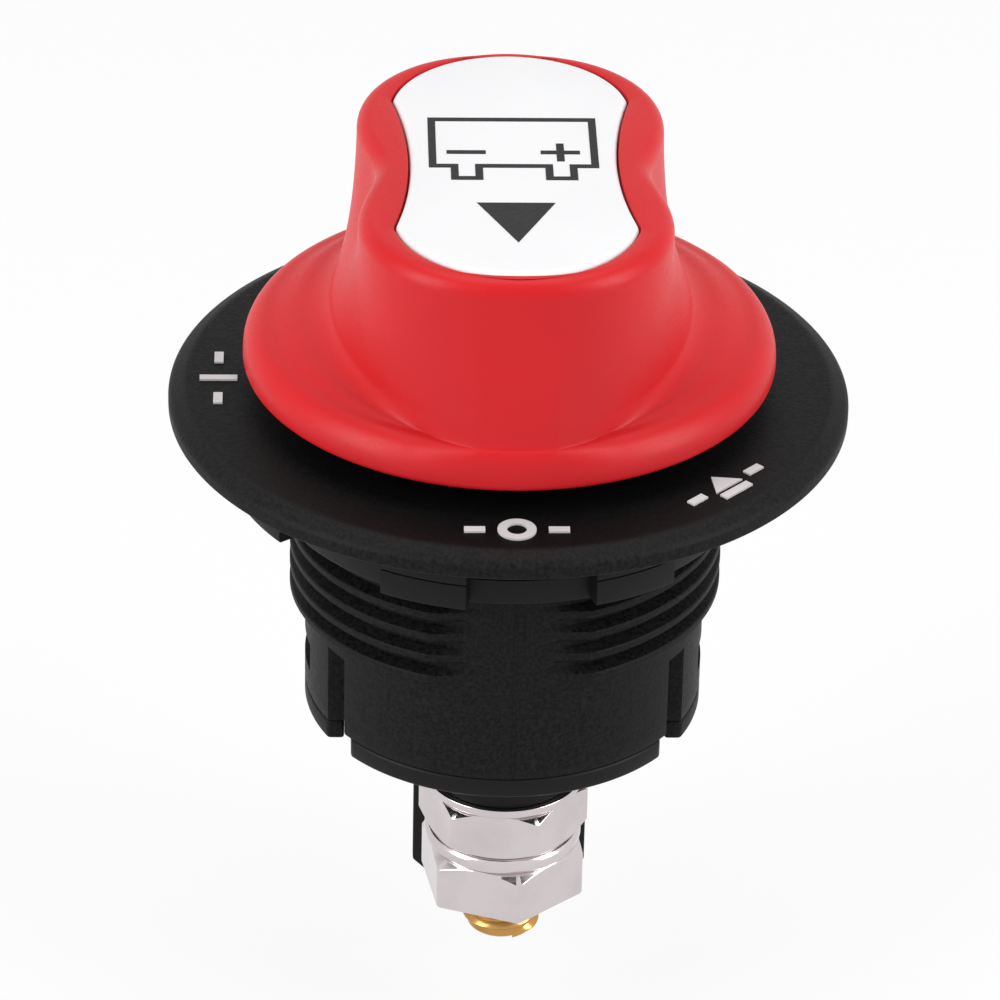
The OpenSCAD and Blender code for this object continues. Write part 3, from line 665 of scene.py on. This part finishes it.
def build_hex_nut(node, turn, double):
    """Hexagon nut whose corners a cone cuts off above, and below too if it is double."""
    low, high = span(node)
    z0, z1 = low[2], high[2]
    centre = (0, math.copysign(abs(STUD_Y), low[1] + high[1]))
    angles = circle_angles(360, [turn + i * 60 for i in range(6)])
    round_edge = 0.12
    across = (angles - math.radians(turn) + TAU) % (math.pi / 3) - math.pi / 6
    hexagon = HEX_HALF / np.cos(across)
    hexagon = np.minimum(hexagon, HEX_CORNER - round_edge)
    face_r = HEX_HALF - 0.05
    drop = (hexagon - face_r) * math.tan(math.radians(CONE_SLOPE))
    eye = STUD_R + 0.05

    def end(z, into, coned):
        """Rings from the bore's mouth out over one end face to the flats."""
        rings = [ring(eye, z + into * 0.6, angles, centre), ring(eye + 0.5, z, angles, centre)]
        if coned:
            rings += [ring(face_r - 0.1, z, angles, centre),
                      ring(face_r, z + into * 0.03, angles, centre),
                      ring(hexagon - 0.03, z + into * (drop + 0.02), angles, centre),
                      ring(hexagon, z + into * (drop + 0.06), angles, centre)]
        else:
            rings += [ring(hexagon - 0.15, z, angles, centre),
                      ring(hexagon - 0.05, z + into * 0.04, angles, centre),
                      ring(hexagon, z + into * 0.15, angles, centre)]
        return rings

    rings = end(z0, 1, double) + end(z1, -1, True)[::-1]
    piece = ring_solid(node + "_body", rings, closed=True, sharp=18)
    fix_normals(piece)
    return finish_piece(piece, "housing", node)


def build_lock_washer(node):
    """Split spring washer with rounded edges; the cut faces the barrier wall."""
    low, high = span(node)
    z0, z1 = low[2], high[2]
    centre = (0, (low[1] + high[1]) / 2)
    side = -math.copysign(1, centre[1])
    outer, inner = high[0], STUD_R + 0.25
    half = (z1 - z0) / 2
    outline = soften([(inner, z0, 0.3), (outer, z0, 1.5 * half), (outer, z1, 1.5 * half),
                      (inner, z1, 0.3)], 9)
    gap = SLIT_HALF / outer
    rings = []
    for t in np.linspace(gap, TAU - gap, 160):
        angle = t + side * math.pi / 2
        rings.append(np.array([(r * math.cos(angle), centre[1] + r * math.sin(angle), z)
                               for r, z in outline]))
    piece = ring_solid(node + "_body", rings, sharp=40)
    fix_normals(piece)
    return finish_piece(piece, "housing", node)


def build_flat_washer(node):
    low, high = span(node)
    centre = (0, (low[1] + high[1]) / 2)
    piece = lathe(node + "_body", [
        (STUD_R + 0.2, low[2], 0.1), (high[0], low[2], 0.2), (high[0], high[2], 0.15),
        (STUD_R + 0.2, high[2], 0.1),
    ], 160, centre)
    fix_normals(piece)
    return finish_piece(piece, "housing", node)


def build_stud(node):
    low, high = span(node)
    centre = (0, (low[1] + high[1]) / 2)
    thread_top = span("flat_washer_front")[1][2]
    core = STUD_R - STUD_THREAD_DEPTH
    shaft_top = high[2] - HEAD_H + 0.1
    shaft = lathe("shaft", [
        (0.02, STUD_END, 0), (core - 0.45, STUD_END, 0.12), (core, STUD_END + 0.4, 0.1),
        (core, thread_top, 0), (STUD_R, thread_top + 0.1, 0), (STUD_R, shaft_top, 0),
        (0.02, shaft_top, 0),
    ], 96, centre)
    section = [(0, 0.5), (0.46, 0.1), (0.5, 0), (0.46, -0.1), (0, -0.5)]
    turns = (thread_top - STUD_END - 1.0) / STUD_PITCH
    ridge = helix_ridge("ridge", section, core, STUD_PITCH, thread_top - 0.5, turns, 72,
                        taper=0.12, centre=centre)
    fix_normals(ridge)
    half = high[0] - 0.001
    cy = centre[1]
    head = extrusion("head", [(-half, cy - half), (half, cy - half), (half, cy + half),
                              (-half, cy + half)], high[2] - HEAD_H, high[2])
    head = bevel(head, 0.3, 2)
    piece = join(node + "_body", [shaft, ridge, head])
    fix_normals(piece)
    return finish_piece(piece, "housing", node)


# ----------------------------------------------------------------------- knob

def super_radius(t, a, b, n):
    """Radius of a superellipse with half axes a and b and exponent n."""
    return (np.abs(np.cos(t) / a) ** n + np.abs(np.sin(t) / b) ** n) ** (-1 / n)


def foot_radius(t):
    return np.minimum(super_radius(t, FOOT_HALF_W, SKIRT_R - 0.2, 1.8), SKIRT_R - 0.75)


def top_radius(t):
    r = super_radius(t, GRIP_HALF_W, GRIP_HALF_L, 2.4)
    return r * (1 - WAIST * np.exp(-(r * np.sin(t) / WAIST_REACH) ** 2))


def bow(chord_half, sag):
    """Radius of the arc with that half chord and sagitta."""
    return (chord_half ** 2 + sag ** 2) / (2 * sag)


def label_radius(t, grow=0.0):
    """Radius of the label plate's outline: bowed-in sides and round ends."""
    side_r = bow(LABEL_CORNER_Y, LABEL_CORNER_HALF - LABEL_WAIST_HALF)
    end_r = bow(LABEL_CORNER_HALF, LABEL_HALF_L - LABEL_CORNER_Y)
    end_c = LABEL_HALF_L - end_r
    c, s = np.abs(np.cos(t)), np.abs(np.sin(t))
    block = np.minimum((LABEL_CORNER_HALF + 2 + grow) / np.maximum(c, 1e-6),
                       (LABEL_CORNER_Y - 1) / np.maximum(s, 1e-6))
    disc = end_c * s + np.sqrt(np.maximum((end_r + grow) ** 2 - (end_c * c) ** 2, 0))
    end = np.maximum(block, disc)
    side_c = LABEL_WAIST_HALF + side_r
    inside = (side_r - grow) ** 2 - (side_c * s) ** 2
    side = np.where(inside > 0, side_c * c - np.sqrt(np.maximum(inside, 0)), 1e3)
    return np.minimum(end, side)


def knob_profile_rings(angles):
    """Rings of the knob's outside from the skirt's lower edge to the rim of the label's recess."""
    foot, top = foot_radius(angles), top_radius(angles)
    shelf_z = KNOB_BOTTOM + SKIRT_H
    shoulder_z = shelf_z - SKIRT_ROUND_H
    shelf_r = np.maximum(SHELF_R, foot + 0.1)
    flat = (shelf_r - foot) / (SHELF_R - FOOT_HALF_W)
    low = shelf_z + 0.9 * flat
    edge = 1.7
    wall_top = KNOB_TOP - edge
    rings = []

    def add(r, z):
        rings.append(ring(r, z, angles))

    for a in np.radians([0, 30, 60, 90]):
        add(SKIRT_R - 0.5 * (1 - np.sin(a)), KNOB_BOTTOM + 0.5 * (1 - np.cos(a)))
    for z in np.linspace(KNOB_BOTTOM + 0.7, shoulder_z, 3):
        add(SKIRT_R, z)
    for a in np.radians(np.arange(10, 91, 10)):
        add(shelf_r + (SKIRT_R - shelf_r) * math.cos(a),
            shoulder_z + (shelf_z - shoulder_z) * math.sin(a))
    fillet = np.minimum(2.6, (shelf_r - foot) * 0.6)
    for s in (0.33, 0.66):
        add(shelf_r + (foot + fillet - shelf_r) * s, shelf_z + (low - shelf_z) * s)
    wall = lambda s: top + (foot - top) * (1 - s) ** 1.5
    start = 0.10
    for a in np.radians(np.linspace(0, 90, 9)):
        lift = (wall_top - low) * start + 0.3
        add(foot + fillet - (foot + fillet - wall(start)) * np.sin(a), low + lift * (1 - np.cos(a)))
    for s in np.linspace(start, 1, 28)[1:]:
        add(wall(s), low + 0.3 * (1 - s * s) + (wall_top - low) * s)
    for a in np.radians(np.linspace(0, 90, 10))[1:]:
        add(top - edge * (1 - math.cos(a)), wall_top + (KNOB_TOP - wall_top) * math.sin(a))
    return rings


def build_knob():
    angles = circle_angles(360)
    rings = knob_profile_rings(angles)
    recess = label_radius(angles, LABEL_GAP)
    floor = LABEL_LOW[2] - 0.05
    rings.append(ring(recess + 0.25, KNOB_TOP, angles))
    rings.append(ring(recess + 0.05, KNOB_TOP - 0.08, angles))
    rings.append(ring(recess, KNOB_TOP - 0.25, angles))
    rings.append(ring(recess, floor, angles))
    for r, z in [(STEM_HOLE_R, floor), (STEM_HOLE_R, floor - 1.9), (SCREW_HOLE_R, floor - 2.0),
                 (SCREW_HOLE_R, STEM_HOLE_TOP)]:
        rings.append(ring(r, z, angles))
    inner = top_radius(angles) - KNOB_WALL
    roof = floor - 2.3
    skirt_in = SKIRT_R - KNOB_WALL
    for r, z in [(STEM_HOLE_R, STEM_HOLE_TOP), (STEM_HOLE_R, BOSS_END), (BOSS_R, BOSS_END),
                 (BOSS_R, roof)]:
        rings.append(ring(r, z, angles))
    rings.append(ring(inner - 0.6, roof, angles))
    rings.append(ring(inner, roof - 0.6, angles))
    rings.append(ring(inner, KNOB_BOTTOM + 2.3, angles))
    rings.append(ring(np.maximum(inner + 0.3, skirt_in), KNOB_BOTTOM + 2.0, angles))
    rings.append(ring(np.maximum(inner + 0.3, skirt_in), KNOB_BOTTOM + 0.3, angles))
    rings.append(ring(np.maximum(inner + 0.5, skirt_in + 0.3), KNOB_BOTTOM, angles))
    piece = ring_solid("knob_body", rings, closed=True, sharp=40)
    fix_normals(piece)
    return finish_piece(piece, "knob", "knob")


def build_label():
    angles = circle_angles(360)
    outline = label_radius(angles)
    low, high = LABEL_LOW[2], LABEL_HIGH[2] - 0.03
    edge = 0.8
    rings = [ring(outline * 0.02, low, angles), ring(outline, low, angles),
             ring(outline, high - edge, angles)]
    for a in np.radians(np.linspace(15, 90, 6)):
        rings.append(ring(outline - edge * (1 - math.cos(a)), high - edge * (1 - math.sin(a)),
                          angles))
    rings.append(ring(outline * 0.6, high, angles))
    rings.append(ring(outline * 0.02, high, angles))
    piece = ring_solid("label_plate", rings, sharp=40)
    fix_normals(piece)
    return finish_piece(piece, "knob", "label")


# -------------------------------------------------------------------- springs

def build_spring(node):
    """A coil spring as the CAD has it, on the rotor body."""
    source = frame["nodes"][node]
    piece = bpy.data.objects.new(node + "_coil", source.data.copy())
    piece.matrix_world = source.matrix_world.copy()
    bpy.context.scene.collection.objects.link(piece)
    finish_piece(piece, "rotor", node)
    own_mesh(piece)


# ---------------------------------------------------------------- stage

def seen_rays(nodes, links, share):
    """The share of its own white that a backdrop shows to the camera, mirrors and glass."""
    path = nodes.new("ShaderNodeLightPath")
    total = path.outputs["Is Camera Ray"]
    for ray in ("Is Glossy Ray", "Is Transmission Ray"):
        most = nodes.new("ShaderNodeMath")
        most.operation = "MAXIMUM"
        links.new(total, most.inputs[0])
        links.new(path.outputs[ray], most.inputs[1])
        total = most.outputs["Value"]
    scaled = nodes.new("ShaderNodeMath")
    scaled.operation = "MULTIPLY"
    scaled.inputs[1].default_value = share
    links.new(total, scaled.inputs[0])
    return scaled.outputs["Value"]


def build_stage():
    ground = cad_box[0][2] / MM - NUT_CLEARANCE
    size = 3000
    corners = [(-size, -size, ground), (size, -size, ground), (size, size, ground),
               (-size, size, ground)]
    floor = new_object("floor", corners, [(0, 1, 2, 3)])
    mat, nodes, links, shader = material("floor_white", (0.86, 0.86, 0.86), 0.9)
    floor.data.materials.append(mat)
    glow = nodes.new("ShaderNodeEmission")
    glow.inputs["Color"].default_value = (1, 1, 1, 1)
    mixer = nodes.new("ShaderNodeMixShader")
    links.new(seen_rays(nodes, links, 0.86), mixer.inputs["Fac"])
    links.new(shader.outputs["BSDF"], mixer.inputs[1])
    links.new(glow.outputs["Emission"], mixer.inputs[2])
    links.new(mixer.outputs["Shader"], nodes["Material Output"].inputs["Surface"])


def soft_box(name, size, power, place):
    """A rectangular lamp at the given place, turned to the middle of the object."""
    light = bpy.data.lights.new(name, "AREA")
    light.shape = "RECTANGLE"
    light.size, light.size_y = size
    light.energy = power
    lamp = bpy.data.objects.new(name, light)
    lamp.location = place
    lamp.rotation_euler = (Vector((0, 0, -0.01)) - Vector(place)).to_track_quat("-Z", "Y").to_euler()
    bpy.context.scene.collection.objects.link(lamp)


def build_lights():
    scene = bpy.context.scene
    world = bpy.data.worlds.new("studio")
    scene.world = world
    world.use_nodes = True
    nodes, links = world.node_tree.nodes, world.node_tree.links
    fill = nodes["Background"]
    fill.inputs["Color"].default_value = (1, 1, 1, 1)
    fill.inputs["Strength"].default_value = 0.24
    white = nodes.new("ShaderNodeBackground")
    white.inputs["Color"].default_value = (1, 1, 1, 1)
    white.inputs["Strength"].default_value = 1.0
    mixer = nodes.new("ShaderNodeMixShader")
    links.new(seen_rays(nodes, links, 1.0), mixer.inputs["Fac"])
    links.new(fill.outputs["Background"], mixer.inputs[1])
    links.new(white.outputs["Background"], mixer.inputs[2])
    links.new(mixer.outputs["Shader"], nodes["World Output"].inputs["Surface"])
    soft_box("left_box", (0.30, 0.6), 3.7, (-0.55, -0.28, 0.26))
    soft_box("right_box", (0.30, 0.6), 3.5, (0.55, -0.24, 0.28))
    soft_box("top_box", (0.6, 0.5), 2.5, (0.0, 0.10, 0.75))


def build_camera():
    """The view: 30 degrees above the horizon, almost straight from the front."""
    camera_data = bpy.data.cameras.new("camera")
    camera_data.sensor_width = 36
    camera_data.lens = 211.6
    camera = bpy.data.objects.new("camera", camera_data)
    right = Vector((0.999746, 0.012502, 0.018761))
    up = Vector((-0.022522, 0.515657, 0.856499))
    back = Vector((0.001034, -0.856704, 0.515807))
    pose = Matrix((
        (right.x, up.x, back.x, 0.0),
        (right.y, up.y, back.y, -0.50184),
        (right.z, up.z, back.z, 0.29079),
        (0, 0, 0, 1),
    ))
    camera.matrix_world = Matrix.Rotation(math.radians(-2.2), 4, "Z") @ pose
    bpy.context.scene.collection.objects.link(camera)
    bpy.context.scene.camera = camera


build_camera()
build_lights()
build_stage()
build_housing()
build_panel_nut()
build_base()
for place in ("front", "rear"):
    build_stud("stud_" + place)
    build_flat_washer("flat_washer_" + place)
    build_hex_nut("inner_nut_" + place, INNER_TURN, True)
    build_lock_washer("lock_washer_" + place)
    build_hex_nut("outer_nut_" + place, OUTER_TURN, False)
build_knob()
build_label()
build_spring("contact_spring")

bpy.context.scene.view_settings.view_transform = "Standard"
